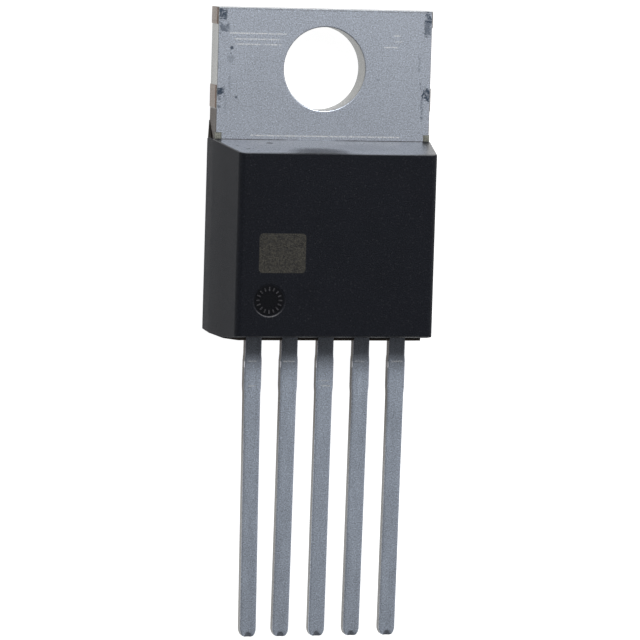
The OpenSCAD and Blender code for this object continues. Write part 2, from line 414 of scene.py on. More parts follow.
# Tin plate, matt and finely grained, with what stamping and trimming left on it, painted shade on the leads
# below the body and a painted highlight on each burr
tinLook = {
    "face": seen(196, 203, 215),
    "leadFace": seen(199, 209, 224),
    "flank": seen(134, 133, 131),    # sheared sides of the leads
    "flankDark": seen(88, 84, 80),   # the same, near the body
    "wall": seen(162, 163, 162),     # the tab's own sides
    "punched": seen(160, 161, 160),  # wall of the hole
    "bare": seen(145, 137, 131),     # sheared stubs, down to the base metal
    "rust": seen(92, 66, 50),
    # grime on the tab's sides and lines; also the painted shade on the leads below the body
    "grimeAndShade": seen(74, 66, 62),
    "cut": seen(84, 88, 96),         # sheared tips
    "smear": seen(84, 96, 112),
    "pale": seen(244, 247, 252),
    "grain": 0.055,                  # sizes of the patterns, mm
    "mottle": 0.8,
    "brushed": 0.16,
    "fleck": 0.08,
    "fine": 0.09,                    # breaks up lines
    "tabTorn": 0.2,                  # frays the edges of marks
    "leadTorn": 0.13,
    "streak": 0.3,                   # along the leads
    "grainDepth": 2.1,               # how much each pattern shows
    "mottleDepth": 0.04,
    "streakDepth": 0.45,
    "fleckDepth": 0.22,
    "fleckRange": (0.6, 0.74),       # few and small bright points
    "tabRough": 0.5,
    "leadRough": 0.48,
    "bump": 0.004,                   # mm
    "flankFade": (-19.0, -14.5),     # the leads' sides get darker between these, y
    "rootShade": 2.2,                # how far painted shade darkens the leads below the body
    "topLine": (0.1, 0.05),          # broken dark line, below the tab's top
    "topEdge": (0.04, 0.02),         # dull edge, below the tab's top
    "meetLine": (-3.33, -3.265),     # dark line where the compound meets the tab, y
    "sideGrime": (-1.95, -1.84),     # the tab's sides are grimy below these, y
    "rustStart": (1.0, 1.16),        # the stubs are rusty above these heights
    # painted highlight on the burr at each lead's left edge
    "burrHighlight": (-0.405, -0.375, -13.62, -13.34),   # from x, to x off each lead's middle, from y, to y
    "scratchLine": {"fray": 0.03, "soft": 0.08, "thin": (0.015, 0.045), "gaps": (0.28, 0.52)},
    "barLine": {"fray": 0.06, "soft": 0.05, "thin": (0.018, 0.05), "gaps": (0.35, 0.5)},
    # from x, to x, y, strength
    "scratches": [(-4.54, -1.85, 1.57, 0.9), (-4.31, -2.14, 1.31, 0.8), (-4.26, -2.09, 1.07, 0.8),
                  (3.25, 3.54, 1.58, 0.9), (3.31, 3.66, 1.31, 0.6), (2.79, 3.45, 1.05, 0.9),
                  (-3.42, 3.67, -3.10, 0.9)],
    "barMarks": [(-3.64, -3.20, -13.33, 0.7), (-1.98, -1.46, -13.34, 0.8), (1.42, 1.96, -13.33, 0.8),
                 (3.14, 3.68, -13.33, 0.8), (-3.60, -3.24, -14.47, 0.6), (-0.26, 0.22, -14.22, 0.5),
                 (-0.20, 0.26, -14.46, 0.6)],
    # from x, to x, from y, to y, strength
    "smears": [(-5.04, -4.68, 2.18, 2.66, 0.95), (-5.02, -4.56, 1.62, 2.0, 0.65),
               (-5.08, -5.03, 0.0, 0.75, 0.7), (-5.04, -4.74, -1.28, -0.92, 1.0),
               (4.74, 5.05, 2.22, 2.62, 1.0), (4.72, 5.00, 1.58, 2.2, 0.7), (4.70, 5.05, -1.36, -0.84, 1.0),
               (4.64, 4.72, -2.2, -1.4, 0.6), (4.47, 4.52, -0.1, 0.78, 0.55), (4.56, 4.61, -0.8, -0.55, 0.7),
               (-4.53, -4.47, -1.3, -0.2, 0.3), (-4.70, -4.64, -2.1, -1.3, 0.3)],
    # x, y, radius, strength
    "spots": [(-4.42, 0.90, 0.09, 0.9), (-4.46, 0.64, 0.05, 0.6), (-4.15, -1.36, 0.07, 0.7),
              (-4.45, 0.40, 0.22, 0.25), (-4.92, -1.45, 0.07, 0.6), (-4.95, -1.80, 0.09, 0.6),
              (2.55, -0.45, 0.07, 0.3)],
    "smearFray": (0.45, 0.9),        # how far their edges are torn, across and along
}


def tinGrain(graph, look, where, streaks):  # how bright the plating is, about 1, and how high
    grain = graph.noise(where, look["grain"], 3.0, 0.65)
    mottle = graph.noise(where, look["mottle"], 3.0, 0.5)
    brushed = graph.noise(where, look["brushed"], 2.0, 0.5, streaks)
    fleck = graph.step(graph.noise(where, look["fleck"], 1.0, 0.5, shift=(9, 2, 0)), *look["fleckRange"])
    light = 1 + (grain - 0.5) * look["grainDepth"] + (mottle - 0.5) * look["mottleDepth"] \
        + (brushed - 0.5) * look["mottleDepth"] + fleck * look["fleckDepth"]
    return light, mottle, grain * 0.7 + brushed * 0.3


def finishTin(graph, look, colour, light, mottle, height, rough, dull):
    rough = rough + (mottle - 0.5) * 0.03 + dull * 0.2
    graph.finish({"Base Color": graph.shade(colour, light), "Metallic": 1 - dull * 0.5, "Roughness": rough,
                  "Normal": graph.bump(height, look["bump"])})


def scored(graph, x, y, mark, ragged, line):  # a thin line across, broken up by a noise
    left, right, level, strength = mark
    near = abs(y - level + (ragged - 0.5) * line["fray"])
    cover = graph.window(x, left, right, line["soft"]) * graph.fall(near, *line["thin"])
    return cover * graph.step(ragged, *line["gaps"]) * strength


def leadTone(graph, look, x, y, torn):
    flank, sheared = (graph.put("ShaderNodeAttribute", {"attribute_name": name}, out="Fac")
                      for name in ("flank", "sheared"))
    side = graph.tint(graph.step(y, *look["flankFade"]), look["flank"], look["flankDark"])
    # painted shade: the leads darken towards the grime colour just below the body, where the body casts its
    # shadow on them
    root = graph.step(y, -bodyEnd - look["rootShade"], -bodyEnd - 0.1)
    colour = graph.layers(look, graph.tint(flank, look["leadFace"], side), (sheared * 0.9, "cut"),
                          (root * 0.5, "grimeAndShade"))

    # where the dam bars were sheared off: short pale lines across, and a painted highlight on the burr at the
    # left edge
    for mark in look["barMarks"]:
        colour = graph.tint(scored(graph, x, y, mark, torn, look["barLine"]), colour, look["pale"])
    local = x - graph.maths("ROUND", x / shared["leadPitch"]) * shared["leadPitch"]
    # painted highlight: a bright line where each lead's burr catches the light, at its left edge
    left, right, low, high = look["burrHighlight"]
    burrHighlight = graph.window(local, left, right, 0.008) * graph.window(y, low, high, 0.03)
    colour = graph.tint(burrHighlight * 0.8, colour, look["pale"])
    return colour, graph.most(flank * 0.3, sheared * 0.6)


def tabTin(look):
    material, graph = newMaterial("mattTinTab")
    where = graph.place()
    x, y, z = graph.parts(where)
    light, mottle, height = tinGrain(graph, look, where, (1, 0.35, 1))
    torn = graph.noise(where, look["tabTorn"], 3.0, 0.6, (1.5, 0.8, 1), (3, 1, 0))
    fine = graph.noise(where, look["fine"], 2.0, 0.6, (0.35, 1, 1), (0, 5, 0))
    face, top = shared["plateThick"], shared["tabTop"]
    front = graph.step(z, face - 0.06, face - 0.02)
    colour = look["face"]

    for mark in look["scratches"]:
        line = scored(graph, x, y, mark, fine, look["scratchLine"])
        colour = graph.tint(line * front, colour, look["pale"])
    frayedX, frayedY = (place + (ragged - 0.5) * fray
                        for place, ragged, fray in zip((x, y), (torn, fine), look["smearFray"]))
    for left, right, low, high, strength in look["smears"]:
        patch = graph.window(frayedX, left, right, 0.04) * graph.window(frayedY, low, high, 0.07)
        colour = graph.tint(patch * graph.step(torn, 0.2, 0.52) * front * strength, colour, look["smear"])
    for spotX, spotY, radius, strength in look["spots"]:
        away = graph.reach(x - spotX, y - spotY) + (torn - 0.5) * radius
        spot = graph.fall(away, radius * 0.5, radius * 1.2)
        colour = graph.tint(spot * front * strength, colour, look["smear"])

    # dull sheared edge at the top, with a broken dark line under it
    low, high = (top - below for below in look["topLine"])
    under = graph.window(y, low, high, 0.015) * graph.step(fine, 0.35, 0.6) * front
    edge = graph.step(y, *(top - below for below in look["topEdge"]))

    # dark line where the compound meets the tab, gone near the middle
    low, high = look["meetLine"]
    meet = graph.window(y, low, high, 0.012) * graph.step(abs(x + 0.6 + (mottle - 0.5) * 4), 0.4, 2.4) * front

    # sides: plated relief, grime near the body, and the bare stubs with rust along their front edge
    half = shared["tabWidth"] / 2
    side = graph.step(abs(x), half - 0.06, half - 0.045)
    stub = graph.step(abs(x), half - 0.022, half - 0.01)
    grimy = side * graph.fall(y, *look["sideGrime"])
    rusty = stub * graph.step(z + (torn - 0.5) * 0.3, *look["rustStart"])
    rim = tabLook["holeDiameter"] / 2
    hole = graph.fall(graph.reach(x, y), rim + 0.01, rim + 0.03)
    colour = graph.layers(look, colour, (under * 0.4, "grimeAndShade"), (edge * 0.8, "wall"), (meet * 0.75, "grimeAndShade"),
                          (side, "wall"), (grimy * 0.85, "grimeAndShade"), (stub, "bare"), (rusty * 0.85, "rust"),
                          (hole, "punched"))
    dull = graph.most(stub, grimy * 0.8)

    # the middle lead belongs to the same strip
    lead = graph.fall(y, -bodyEnd - 0.05, -bodyEnd + 0.05)
    leadColour, leadDull = leadTone(graph, look, x, y, torn)
    colour = graph.tint(lead, colour, leadColour)
    dull = dull + lead * (leadDull - dull)
    rough = look["tabRough"] + lead * (look["leadRough"] - look["tabRough"])
    finishTin(graph, look, colour, light, mottle, height, rough, dull)
    return material


def leadTin(look):
    material, graph = newMaterial("mattTinLeads")
    where = graph.place()
    x, y = graph.parts(where)[:2]
    light, mottle, height = tinGrain(graph, look, where, (0.3, 1, 1))
    torn = graph.noise(where, look["leadTorn"], 3.0, 0.6, (0.8, 2.2, 1), (3, 1, 0))
    streak = graph.noise(where, look["streak"], 2.0, 0.5, (1, 0.12, 1))
    light = light + (streak - 0.5) * look["streakDepth"]
    colour, dull = leadTone(graph, look, x, y, torn)
    finishTin(graph, look, colour, light, mottle, height, look["leadRough"], dull)
    return material


# Epoxy compound, fine and matt from the mould's eroded walls
compoundLook = {
    "face": seen(23, 25, 31),
    "gloss": 0.085,
    "etched": seen(70, 68, 62),
    "resin": seen(112, 113, 106),  # thin resin over the tin in the tab's corners
    "tongue": seen(38, 34, 30),
    "dam": seen(78, 72, 67),       # resin between the leads
    "sunk": seen(12, 13, 16),      # floor of the ejector pin's mark
    # the first: pale ticks and dust, also the painted highlight on the mark's lower rim; the second: a
    # painted highlight on its lower wall
    "paleMarksAndHighlight": seen(66, 66, 69),
    "crescentHighlight": seen(94, 94, 97),
    "roughness": 0.55,
    "endRough": 0.3,               # the wall above the tab is smooth
    "endSkin": 0.48,
    "grain": 0.05,                 # sizes of the patterns, mm
    "cloud": 1.3,
    "speck": 0.1,
    "dust": 0.09,
    "grainBump": 0.016,            # mm
    # on the wall above the tab: x, height, radius, strength
    "pits": [(-2.71, 2.07, 0.11, 1.0), (-4.40, 2.83, 0.06, 0.7), (-4.07, 3.52, 0.06, 0.7)],
    # x, height, half width, half height, strength
    "smudges": [(-0.8, 4.1, 1.5, 1.1, 0.75), (1.6, 2.9, 1.6, 0.9, 0.15)],
    "wallDust": 0.5,               # how much of the dust shows, on the wall and in front
    "frontDust": 0.3,
    "patchPlace": (-2.55, -8.24),
    "patchSize": (2.18, 1.80),
    "patchCorner": 0.18,
    "hatch": 0.06,                 # pitch of the burnt lines
    "sunkDepth": 0.85,             # how much of each tone shows in the ejector pin's mark
    "tickWear": 0.7,
    "rimHighlight": 0.25,
    "tickRoot": 0.36,              # where the ticks start, from the mark's middle
    "damStart": (2.4, 2.48),       # height of the resin between the leads
    "resinStart": (0.16, 0.12),    # thin resin, down from the tab's front face
}


def compound(look):
    material, graph = newMaterial("epoxyCompound")
    where = graph.place()
    x, y, z = graph.parts(where)
    grain = graph.noise(where, look["grain"], 3.0, 0.6)
    cloud = graph.noise(where, look["cloud"], 3.0, 0.5)
    speck = graph.noise(where, look["speck"], 2.0, 0.7, shift=(4, 4, 0))
    dust = graph.noise(where, look["dust"], 2.0, 0.6, shift=(7, 0, 2))
    face = shared["bodyThick"]
    front = graph.step(z, face - 0.02, face - 0.01)
    nearFront = graph.step(z, face - 0.09, face - 0.07)   # takes in the mark's floor

    # plain etched patch with round corners, burnt line by line
    corner = look["patchCorner"]
    offX, offY = (graph.most(abs(place - middle) - (size / 2 - corner), 0.0)
                  for place, middle, size in zip((x, y), look["patchPlace"], look["patchSize"]))
    away = graph.reach(offX, offY) - corner
    patch = graph.fall(away + (speck - 0.5) * 0.04, -0.02, 0.02) * front
    lines = graph.maths("SINE", y * (2 * math.pi / look["hatch"])) * 0.5 + 0.5
    burnt = patch * (0.3 + graph.step(speck, 0.35, 0.65) * 0.5 + lines * 0.12)

    # the ejector pin's mark: dark floor, worn ticks, and painted highlights on its lower rim and in a
    # crescent on its lower wall, the side that faces the lamp
    radius = bodyLook["markRadius"]
    offX, offY = (place - middle for place, middle in zip((x, y), bodyLook["markPlace"]))
    away, downward = graph.reach(offX, offY), -offY / radius
    sunk = graph.fall(away, radius - 0.1, radius - 0.04) * nearFront
    floor = face - bodyLook["markDepth"]
    tick = graph.window(away, look["tickRoot"], radius - 0.1, 0.02)
    tick = tick * graph.step(z, floor + 0.006, floor + 0.016)
    # painted highlight along the lower half of the rim
    rim = graph.window(away, radius - 0.04, radius + 0.01, 0.015) * nearFront
    rim = rim * graph.step(downward, -0.4, 0.4)
    # painted highlight: a bright crescent on the lower wall
    lower = graph.window(away, radius - 0.045, radius - 0.005, 0.015) * graph.step(downward, 0.5, 0.95)

    # resin between the leads, in the tab's corners and up its sides
    dam = graph.fall(y, -bodyEnd - 0.14, -bodyEnd - 0.1) * graph.step(z, *look["damStart"])
    beyond = graph.step(y, bodyStart + 0.01, bodyStart + 0.03)
    high = graph.step(z, *(shared["plateThick"] - below for below in look["resinStart"]))
    colour = graph.layers(look, look["face"], (burnt, "etched"), (sunk * look["sunkDepth"], "sunk"),
                          (tick * look["tickWear"], "paleMarksAndHighlight"), (rim * look["rimHighlight"], "paleMarksAndHighlight"),
                          (lower * nearFront * (0.4 + speck), "crescentHighlight"), (dam, "dam"),
                          (beyond, "tongue"), (beyond * high, "resin"))

    # the drafted wall above the tab, with pits and a worn band near its front edge
    draft = math.tan(math.radians(bodyLook["endDraft"]))
    depth = y + shared["bodyTop"] + (z - shared["plateThick"]) * draft
    wall = graph.step(depth, -0.06, -0.02) * (1 - beyond)
    pitted = 0.0
    for spotX, spotZ, radius, strength in look["pits"]:
        away = graph.reach((x - spotX) * 0.6, z - spotZ) + (speck - 0.5) * radius
        pitted = graph.most(pitted, graph.fall(away, radius * 0.6, radius * 1.1) * strength)
    pitted = pitted * wall
    colour = graph.tint(pitted, colour, (0, 0, 0, 1))
    worn = pitted
    for spotX, spotZ, wide, high, strength in look["smudges"]:
        away = ((x - spotX) / wide) ** 2.0 + ((z - spotZ) / high) ** 2.0 + (speck - 0.5) * 1.2
        worn = graph.most(worn, graph.fall(away, 0.1, 1.3) * strength)
    worn = graph.most(worn, graph.step(dust, 0.52, 0.72) * look["wallDust"])
    colour = graph.tint(graph.step(dust, 0.56, 0.78) * front * look["frontDust"], colour, look["paleMarksAndHighlight"])

    skin = wall * (1 - worn)
    light = 1 + (grain - 0.5) * 3 + (cloud - 0.5) * 0.25
    rough = look["roughness"] + skin * (look["endRough"] - look["roughness"])
    rough = rough + (cloud - 0.5) * 0.05 + (grain - 0.5) * 0.1 + patch * 0.15 + pitted * 0.45 + beyond * 0.4
    graph.finish({"Base Color": graph.shade(colour, light), "Roughness": rough, "Metallic": pitted,
                  "Normal": graph.bump(grain + burnt * 0.5, look["grainBump"]),
                  "Specular IOR Level": look["gloss"], "Coat Weight": skin * look["endSkin"],
                  "Coat Roughness": look["endRough"]})
    return material


def sealedMetal(name, colour, rough, grain, depth):  # solder, silicon and wire, inside the compound
    material, graph = newMaterial(name)
    where = graph.place()
    fine = graph.noise(where, grain, 3.0, 0.6)
    broad = graph.noise(where, grain * 8, 2.0, 0.5)
    light = 1 + (fine - 0.5) * depth + (broad - 0.5) * depth * 0.6
    graph.finish({"Base Color": graph.shade(colour[:3], light), "Metallic": 1.0,
                  "Roughness": rough + (fine - 0.5) * 0.15, "Normal": graph.bump(fine, 0.002)})
    return material


# Geometry trees
def newTree(name, sizes, counts):  # named inputs; place and material come with every tree
    tree = bpy.data.node_groups.new(name, "GeometryNodeTree")
    sockets = {}
    newSocket = tree.interface.new_socket
    for kind, titles in ("Float", sizes), ("Int", counts), ("Vector", ["Place"]), ("Material", ["Material"]):
        for title in titles:
            sockets[title] = newSocket(name=title, in_out="INPUT", socket_type="NodeSocket" + kind)
    newSocket(name="Geometry", in_out="OUTPUT", socket_type="NodeSocketGeometry")
    graph = Graph(tree)
    return graph, sockets, graph.put("NodeGroupInput").also


def endTree(graph, given, mesh):  # plain mesh, in its place and with its material
    place, material = given("Place"), given("Material")
    mesh = graph.put("GeometryNodeRealizeInstances", None, {"Geometry": mesh})
    mesh = graph.put("GeometryNodeTransform", None, {"Geometry": mesh, "Translation": place})
    mesh = graph.put("GeometryNodeSetMaterial", None, {"Geometry": mesh, "Material": material})
    graph.put("NodeGroupOutput", None, {"Geometry": mesh})


# Leads: one geometry tree sweeps each lead from its bond post to its sheared tip
leadLook = {
    "length": 13.94,      # outside the body, mm
    "edge": 0.05,         # round long edges
    "postWidth": 1.3,
    "postLength": 1.15,
    "postCover": 0.65,    # compound between the post and the body's end
    "neckWidth": 0.56,
    "stubExtra": 0.025,   # trimmed dam bars, each side
    "stubBelow": 1.75,
    "stubLength": 1.2,
    "stubRamp": 0.3,
    "tipWide": 0.24,      # round corners of the tip
    "tipHigh": 0.4,
    "tipBevel": 0.26,
    "tipThick": 0.22,
    "tipCrown": 0.3,      # half width of the bevel, as a share of the lead's width
    "tipDrift": [0.11, -0.055, -0.045, -0.09, -0.08],   # how far each tip is bent off its line
    "middlePost": 0.1,    # the middle lead's stub of a post
    "middleInside": 0.8,  # and how far it reaches into the body
    "postRamp": 0.04,
    "rings": 140,
    "crowding": 0.7,      # 0 would space the rings evenly
    "nodes": ["enable_lead", "input_lead", None, "output_lead", "adjust_lead"],
    # the tree's inputs that take a value from here as it is
    "asGiven": {"Edge": "edge", "Neck Width": "neckWidth", "Stub Extra": "stubExtra",
                "Stub Length": "stubLength", "Stub Ramp": "stubRamp", "Tip Corner Width": "tipWide",
                "Tip Corner Height": "tipHigh", "Tip Bevel": "tipBevel", "Tip Thickness": "tipThick"},
}


def leadTree(look):
    sizes = ("Length", "Width", "Thickness", "Post Width", "Post Length", "Post Shift", "Neck Length",
             "Stub Middle", "Tip Drift", *look["asGiven"])
    graph, sockets, given = newTree("stampedLead", sizes, ["Rings"])
    length, width, thick = given("Length"), given("Width"), given("Thickness")

    # rings along the lead, closer together near both ends
    end = graph.vector(Y=-length)
    line = graph.put("GeometryNodeCurvePrimitiveLine", None, {"End": end})
    line = graph.put("GeometryNodeResampleCurve", None, {"Curve": line, "Count": given("Rings")})
    share = graph.put("GeometryNodeSplineParameter")
    crowd = share - graph.maths("SINE", share * (2 * math.pi)) * (look["crowding"] / (2 * math.pi))
    spot = graph.vector(Y=-length * crowd)
    line = graph.put("GeometryNodeSetPosition", None, {"Geometry": line, "Position": spot})

    # cross section with round corners and points enough across its faces for the tip
    section = graph.put("GeometryNodeCurvePrimitiveQuadrilateral", None, {"Width": width, "Height": thick})
    section = graph.put("GeometryNodeFilletCurve", {"mode": "POLY"},
                        {"Curve": section, "Count": 3, "Radius": given("Edge"), "Limit Radius": True})
    section = graph.put("GeometryNodeResampleCurve", {"mode": "LENGTH"},
                        {"Curve": section, "Length": given("Edge")})
    blade = graph.put("GeometryNodeCurveToMesh", None,
                      {"Curve": line, "Profile Curve": section, "Fill Caps": True})

    position = graph.put("GeometryNodeInputPosition")
    across, back, up = graph.parts(position)
    along = -back
    fromTip = length - along
    ramp = look["postRamp"] * mm

    # half width: post, neck, blade, dam bar stubs and the round corners of the tip
    pastPost = graph.step(along, given("Post Length"), given("Post Length") + ramp, "LINEAR")
    neckEnd = given("Post Length") + given("Neck Length")
    pastNeck = graph.step(along, neckEnd, neckEnd + ramp, "LINEAR")
    half = given("Post Width") * 0.5
    half = half + pastPost * (given("Neck Width") * 0.5 - half)
    half = half + pastNeck * (width * 0.5 - given("Neck Width") * 0.5)
    reach = given("Stub Length") * 0.5 - abs(along - given("Stub Middle"))
    half = half + given("Stub Extra") * graph.step(reach, -given("Stub Ramp"), 0.0)
    corner = graph.most(1 - fromTip / given("Tip Corner Height"), 0.0)
    curl = 1 - graph.maths("SQRT", graph.most(1 - corner * corner, 0.0))
    half = half - given("Tip Corner Width") * curl
    drift = graph.step(along, given("Stub Middle") + given("Stub Length") * 0.5, length, "LINEAR")
    sideways = across / (width * 0.5) * half
    moved = sideways + given("Post Shift") * (1 - pastPost) + given("Tip Drift") * drift

    # the shear's bevel climbs highest at the middle of the tip, front and back
    crown = 1 - (sideways / (width * look["tipCrown"])) ** 2.0
    drop = graph.most(given("Tip Bevel") * crown - fromTip, 0.0)
    slope = (thick - given("Tip Thickness")) * 0.5 / given("Tip Bevel")
    ceiling = thick * 0.5 - drop * slope
    lowered = graph.maths("SIGN", up) * graph.least(abs(up), ceiling)

    spot = graph.vector(X=moved, Y=-along, Z=lowered)
    sheared = graph.most(graph.step(drop, 0.0, 0.03 * mm), 1 - graph.step(fromTip, 0.001 * mm, 0.01 * mm))
    flank = graph.step(abs(across) - width * 0.5, -0.02 * mm, -0.004 * mm)
    for name, value in (("sheared", sheared), ("flank", flank)):
        blade = graph.put("GeometryNodeStoreNamedAttribute", {"data_type": "FLOAT", "domain": "POINT"},
                          {"Geometry": blade, "Name": name, "Value": value})
    blade = graph.put("GeometryNodeSetPosition", None, {"Geometry": blade, "Position": spot})
    endTree(graph, given, blade)
    return graph.tree, sockets


def runTree(name, tree, sockets, values):  # a geometry tree's result, as a plain mesh
    piece = addObject(name, bpy.data.meshes.new(name))
    grow = piece.modifiers.new("grow", "NODES")
    grow.node_group = tree
    for key, value in values.items():
        grow[sockets[key].identifier] = value
    return settle(piece)


def makeLead(number, look, tree, sockets, material):
    middle = look["nodes"][number] is None   # this one goes on into the spreader
    outward = (look["postWidth"] - shared["leadWidth"]) / 2
    last = len(look["nodes"]) - 1
    shift = {0: -outward, last: outward}.get(number, 0)
    postLength = look["middlePost"] if middle else look["postLength"]
    cover = look["middleInside"] - postLength if middle else look["postCover"]
    inside = postLength + cover
    values = {
        "Length": inside + look["length"],
        "Width": shared["leadWidth"],
        "Thickness": shared["leadThick"],
        "Post Width": shared["leadWidth"] if middle else look["postWidth"],
        "Post Length": postLength,
        "Post Shift": shift,
        "Neck Length": cover - shared["mouth"],
        "Stub Middle": inside + look["stubBelow"],
        "Tip Drift": look["tipDrift"][number],
    }
    for name, key in look["asGiven"].items():
        values[name] = look[key]
    values = {name: value * mm for name, value in values.items()}
    values["Rings"] = look["rings"]
    across = (number - last / 2) * shared["leadPitch"]
    values["Place"] = Vector((across, inside - bodyEnd, shared["leadHeight"])) * mm
    values["Material"] = material
    name = "middleLead" if middle else look["nodes"][number].replace("_lead", "LeadBlade")
    return runTree(name, tree, sockets, values)


# Tab, spreader and middle lead: one stamped strip
tabLook = {
    "relief": 0.03,   # plated sides stand back this far from the sheared stubs
    "upperStub": 0.8,
    "stubGap": 2.78,
    "lowerStub": 1.05,
    "edge": 0.035,
    "edgeSteps": 3,
    "holeDiameter": 3.84,
    "holeLip": 0.06,
    "lipSteps": 5,
    "backLip": (0.02, 0.03),  # at the back, across and deep
    "holeSteps": 128,
    "padWidth": 8.4,
    "padBelow": 0.1,  # it starts this far inside the body
    "padCover": 2.3,  # compound below the spreader
    "lipReach": 0.3,
    "lipThick": 0.5,
    "groove": 0.2,
    "grooveBelow": 0.7,
}
padEnd = bodyEnd - tabLook["padCover"]


def tabOutline(look):  # right side from the foot to the top, then mirrored
    full = shared["tabWidth"] / 2
    back = full - look["relief"]
    top = shared["tabTop"]
    ledge = top - look["upperStub"]
    shelf = ledge - look["stubGap"]
    foot = bodyStart - shared["lockRoot"]
    low = shelf - look["lowerStub"]
    right = [(back, foot), (back, low), (full, low + look["relief"]), (full, shelf),
             (back, shelf + look["relief"]), (back, ledge), (full, ledge + look["relief"]), (full, top)]
    return right + [(-x, y) for x, y in reversed(right)]


def holeProfile(look):  # straight wall with a rolled lip at the front edge
    radius = look["holeDiameter"] / 2
    lip = look["holeLip"]
    top = shared["plateThick"]
    wide, deep = look["backLip"]
    past = 0.2   # the cutter runs past both faces
    profile = [(radius + wide, -past), (radius + wide, 0.0), (radius, deep), (radius, top - lip)]
    for k in range(1, look["lipSteps"] + 1):
        turn = math.radians(90 * k / look["lipSteps"])
        profile.append((radius + lip * (1 - math.cos(turn)), top - lip + lip * math.sin(turn)))
    return profile + [(radius + lip, top + past)]


# Locks: compound in the tab's coined corners, and tongues of it up the tab's sides
lockLook = {
    "corner": (0.3, 0.3, 0.14),         # across, beyond the body's end and deep
    "tongueReach": (0.8, 0.48, 0.12),   # beyond the body's end, from the back face forwards
    "tongueHeight": (0.22, 0.5, 0.66),  # as shares of the tab's thickness
    "tongueDepth": 0.12,
    "tongueInset": 0.01,                # its foot stays this far inside the body's side
}


def resinLocks(name, look, deeper, lower):  # deeper inwards and lower at the surface, to join or to cut
    half = shared["tabWidth"] / 2
    root = bodyStart - shared["lockRoot"]
    top = shared["plateThick"]
    wide, beyond, deep = look["corner"]
    reaches = [bodyStart + reach for reach in look["tongueReach"]]
    heights = [top * share + deeper for share in look["tongueHeight"]]
    profile = [(root, lower), (reaches[0], lower), (reaches[1], heights[0]), (reaches[2], heights[1]),
               (root, heights[2])]
    spread = (shared["sideCover"] - look["tongueInset"]) / (reaches[0] - root)
    locks = []
    for side in (-1, 1):
        inner, outer = sorted((side * (half - wide - deeper), side * (half - lower)))
        locks.append(block(name + "Corner", (inner, root, top - deep - deeper),
                           (outer, bodyStart + beyond + deeper, top - lower)))
        # the tongue's outer face slopes out to the body's side
        inner = [(side * (half - look["tongueDepth"] - deeper), y, z) for y, z in profile]
        outer = [(side * (half - lower + (reaches[0] - y) * spread), y, z) for y, z in profile]
        locks.append(meshFromRings(name + "Tongue", [inner, outer] if side > 0 else [outer, inner]))
    return locks


def makeStrip(look, middleLead):
    top = shared["plateThick"]
    strip = prism("tabStrip", tabOutline(look), 0, top)
    pad = look["padWidth"] / 2
    lip = pad + look["lipReach"]
    foot = -padEnd - look["lipReach"]
    combine(strip, block("pad", (-pad, -padEnd, 0), (pad, bodyStart - look["padBelow"], top)), "UNION")
    combine(strip, block("lip", (-lip, foot, top - look["lipThick"]),
                         (lip, bodyStart - look["lipReach"], top)), "UNION")
    for lock in resinLocks("notch", lockLook, 0, -shared["bite"]):
        combine(strip, lock, "DIFFERENCE")
    combine(strip, lathe("hole", holeProfile(look), (0, 0), look["holeSteps"]), "DIFFERENCE")
    deep = look["groove"]
    grooveY = bodyStart - look["grooveBelow"]
    vee = [(grooveY - deep, top), (grooveY, top - deep), (grooveY + deep, top), (grooveY, top + deep)]
    reach = shared["tabWidth"]
    groove = meshFromRings("groove", [[(x, y, z) for y, z in vee] for x in (-reach, reach)])
    combine(strip, groove, "DIFFERENCE")
    soften(strip, look["edge"], look["edgeSteps"])

    # the step from the spreader up to the plane of the leads
    bite = shared["bite"]
    head = -bodyEnd + leadLook["middleInside"]
    thick = shared["leadThick"] - 2 * bite
    high, front = top - bite, shared["leadHeight"] + thick / 2
    root = foot + 2 * look["lipReach"]
    inside = head - shared["mouth"]
    side = [(root, high - thick), (root, high), (foot, high), (head + thick / 2, front),
            (inside, front), (inside, front - thick), (head + thick, front - thick),
            (foot + thick / 2, high - thick)]
    half = shared["leadWidth"] / 2 - bite
    step = meshFromRings("step", [[(x, y, z) for y, z in side] for x in (-half, half)])
    combine(strip, step, "UNION")
    return markFlanks(combine(strip, middleLead, "UNION"))


def markFlanks(strip):  # which points are sheared side or sheared tip, anew after the unions
    flank, cut = (strip.data.attributes[name].data for name in ("flank", "sheared"))
    tip = -bodyEnd - leadLook["length"] + leadLook["tipBevel"]
    for vert in strip.data.vertices:
        x, y, z = vert.co / mm
        onLead = y < -bodyEnd
        flank[vert.index].value = float(onLead and abs(vert.normal.z) < 0.45)   # it looks sideways
        across = abs(x - leadLook["tipDrift"][leadLook["nodes"].index(None)])
        low = abs(z - shared["leadHeight"]) < shared["leadThick"] / 2 - 0.01
        onTip = y < tip and low and across < leadLook["tipCrown"] * shared["leadWidth"]
        cut[vert.index].value = float(onTip or y < -bodyEnd - leadLook["length"] + 0.01)
    return strip


# Moulded body
bodyLook = {
    "sideDraft": 9.8,    # degrees
    "endDraft": 7.2,
    "backDraft": 2.4,
    "edgeAcross": 0.26,  # round edges of the front face
    "edgeAlong": 0.05,
    "backEdge": 0.03,
    "cornerSteps": 10,
    "edgeSteps": 10,
    "damWidth": 9.0,
    "damReach": 0.1,
    "damTaper": 0.7,     # the strip between the leads runs out at its left end
    "markPlace": (-3.105, -10.39),
    "markRadius": 0.77,
    "markDepth": 0.05,
    "markSlope": 0.06,
    "markLip": 0.03,
    "markSteps": 96,
}


def roundRing(z, side, upper, lower, steps):  # outline of the body at one height
    halfX = shared["tabWidth"] / 2 + shared["sideCover"] - side
    low, high = -bodyEnd + lower, bodyStart - upper
    r, upperR = shared["cornerRadius"], shared["sideCover"]
    ring = []
    for x, y, start, radius in ((halfX - r, low + r, -90, r), (halfX - upperR, high - upperR, 0, upperR),
                                (-halfX + upperR, high - upperR, 90, upperR), (-halfX + r, low + r, 180, r)):
        for k in range(steps + 1):
            turn = math.radians(start + 90 * k / steps)
            ring.append((x + radius * math.cos(turn), y + radius * math.sin(turn), z))
    return ring


